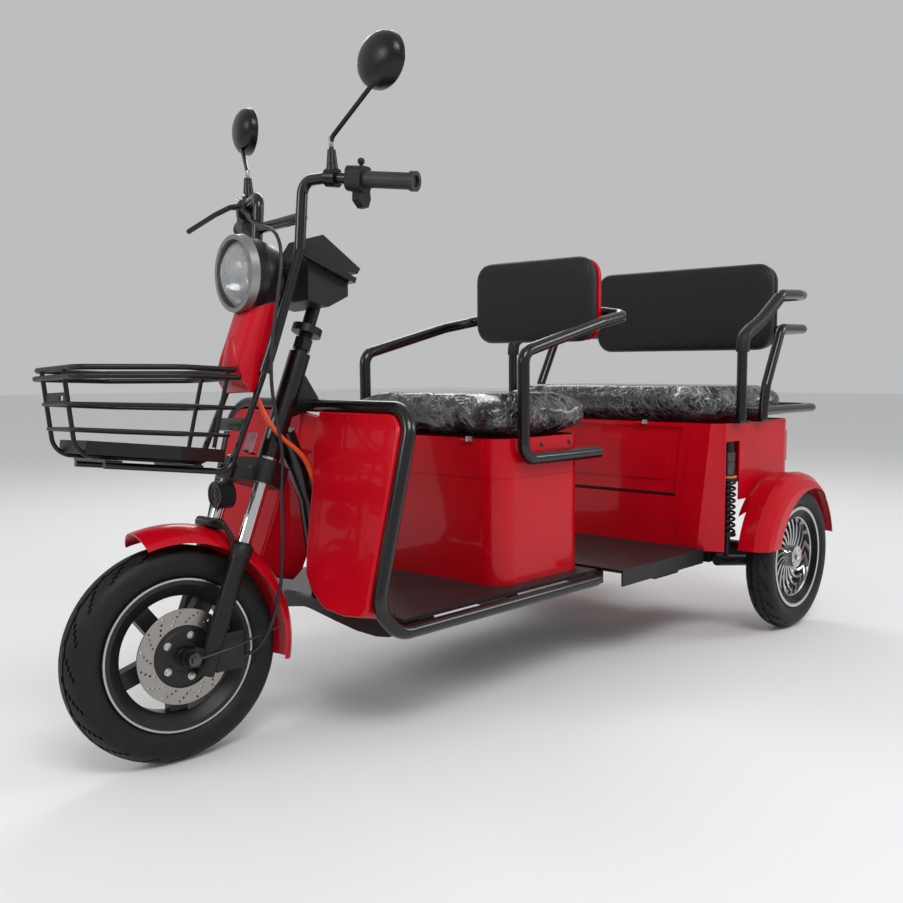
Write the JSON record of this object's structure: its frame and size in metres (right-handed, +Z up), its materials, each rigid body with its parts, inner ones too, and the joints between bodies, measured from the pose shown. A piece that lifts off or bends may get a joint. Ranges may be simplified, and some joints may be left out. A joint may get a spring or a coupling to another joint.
{
  "type": "electric passenger tricycle",
  "caption": "Three-wheeled electric runabout with front basket, driver's seat, rear bench seat, footboards and tubular armrests; steering, wheels and seat lids move.",
  "frame": {"origin": "on the ground under the middle of the whole vehicle", "axes": "+X forward, +Y the rider's left, +Z up"},
  "size_m": [2.1783, 1.024, 1.3638],
  "materials": {
    "basket": "gloss black paint",
    "basket_support": "gloss black paint",
    "battery_pack": "black plastic",
    "brake_caliper": "steel",
    "brake_disc": "steel",
    "brake_hose": "black rubber",
    "display": "black plastic",
    "footboard": "dimpled black mat",
    "fork_crown": "gloss black paint",
    "fork_sliders": "gloss black paint",
    "fork_stanchions": "chrome",
    "front_axle": "steel",
    "front_backrest_pad": "black vinyl",
    "front_backrest_shell": "gloss red paint",
    "front_cowl": "gloss red paint",
    "front_cushion": "black vinyl",
    "front_fender": "gloss red paint",
    "front_rails": "gloss black paint",
    "front_seat_box": "gloss red paint",
    "front_tyre": "tyre rubber",
    "front_wheel": "black, machined edge",
    "grips": "black rubber",
    "guard_tubes": "gloss black paint",
    "hand_controls": "black plastic",
    "handlebar": "gloss black paint",
    "headlight_housing": "dark grey",
    "headlight_lens": "clear lens",
    "headlight_ring": "satin ring",
    "horn": "black plastic",
    "leg_shields": "gloss red paint",
    "main_frame": "gloss black paint",
    "mirror_glass": "mirror glass",
    "mirrors": "black plastic",
    "orange_cable": "orange sheath",
    "rear_axle": "gloss black paint",
    "rear_backrest_pad": "black vinyl",
    "rear_backrest_shell": "gloss black paint",
    "rear_body": "gloss red paint",
    "rear_cushion": "black vinyl",
    "rear_fenders": "gloss red paint",
    "rear_footboard": "dimpled black mat",
    "rear_rails": "gloss black paint",
    "rear_springs": "gloss black paint",
    "rear_tyre_left": "tyre rubber",
    "rear_tyre_right": "tyre rubber",
    "rear_wheel_left": "chrome",
    "rear_wheel_right": "chrome",
    "tail_lights": "red lens"
  },
  "bodies": {
    "chassis": {"battery_pack": "battery_pack", "footboard": "footboard", "front_backrest_pad": "front_backrest_pad", "front_backrest_shell": "front_backrest_shell", "front_rails": "front_rails", "front_seat_box": "front_seat_box", "guard_tubes": "guard_tubes", "leg_shields": "leg_shields", "main_frame": "main_frame", "orange_cable": "orange_cable", "rear_axle": "rear_axle", "rear_backrest_pad": "rear_backrest_pad", "rear_backrest_shell": "rear_backrest_shell", "rear_body": "rear_body", "rear_fenders": "rear_fenders", "rear_footboard": "rear_footboard", "rear_rails": "rear_rails", "rear_springs": "rear_springs", "tail_lights": "tail_lights"},
    "steering": {"front_axle": "front_axle", "fork_crown": "fork_crown", "fork_stanchions": "fork_stanchions", "fork_sliders": "fork_sliders", "front_fender": "front_fender", "handlebar": "handlebar", "grips": "grips", "hand_controls": "hand_controls", "mirrors": "mirrors", "mirror_glass": "mirror_glass", "headlight_housing": "headlight_housing", "headlight_ring": "headlight_ring", "headlight_lens": "headlight_lens", "front_cowl": "front_cowl", "display": "display", "basket": "basket", "basket_support": "basket_support", "horn": "horn", "brake_caliper": "brake_caliper", "brake_hose": "brake_hose"},
    "front_wheel_body": {"front_tyre": "front_tyre", "front_wheel": "front_wheel", "brake_disc": "brake_disc"},
    "rear_left_wheel": {"rear_tyre_left": "rear_tyre_left", "rear_wheel_left": "rear_wheel_left"},
    "rear_right_wheel": {"rear_tyre_right": "rear_tyre_right", "rear_wheel_right": "rear_wheel_right"},
    "front_seat_lid": {"front_cushion": "front_cushion"},
    "rear_seat_lid": {"rear_cushion": "rear_cushion"}
  },
  "joints": [
    {"name": "steering_turn", "type": "hinge", "parent": "chassis", "child": "steering", "pos_m": [0.804, 0, 0.2065], "axis": [-0.3665, 0, 0.9304], "range_deg": [-34, 46]},
    {"name": "front_wheel_spin", "type": "hinge", "parent": "steering", "child": "front_wheel_body", "pos_m": [0.88362, -0.00778, 0.20635], "axis": [0.0973, 0.9945, 0.0383], "continuous": true},
    {"name": "rear_left_spin", "type": "hinge", "parent": "chassis", "child": "rear_left_wheel", "pos_m": [-0.783, 0.459, 0.2065], "axis": [0, 1, 0], "continuous": true},
    {"name": "rear_right_spin", "type": "hinge", "parent": "chassis", "child": "rear_right_wheel", "pos_m": [-0.783, -0.459, 0.2065], "axis": [0, 1, 0], "continuous": true},
    {"name": "front_seat_hinge", "type": "hinge", "parent": "chassis", "child": "front_seat_lid", "pos_m": [0.2383, 0, 0.5835], "axis": [0, 1, 0], "range_deg": [0, 80]},
    {"name": "rear_seat_hinge", "type": "hinge", "parent": "chassis", "child": "rear_seat_lid", "pos_m": [-0.4837, 0, 0.5935], "axis": [0, 1, 0], "range_deg": [0, 80]}
  ]
}
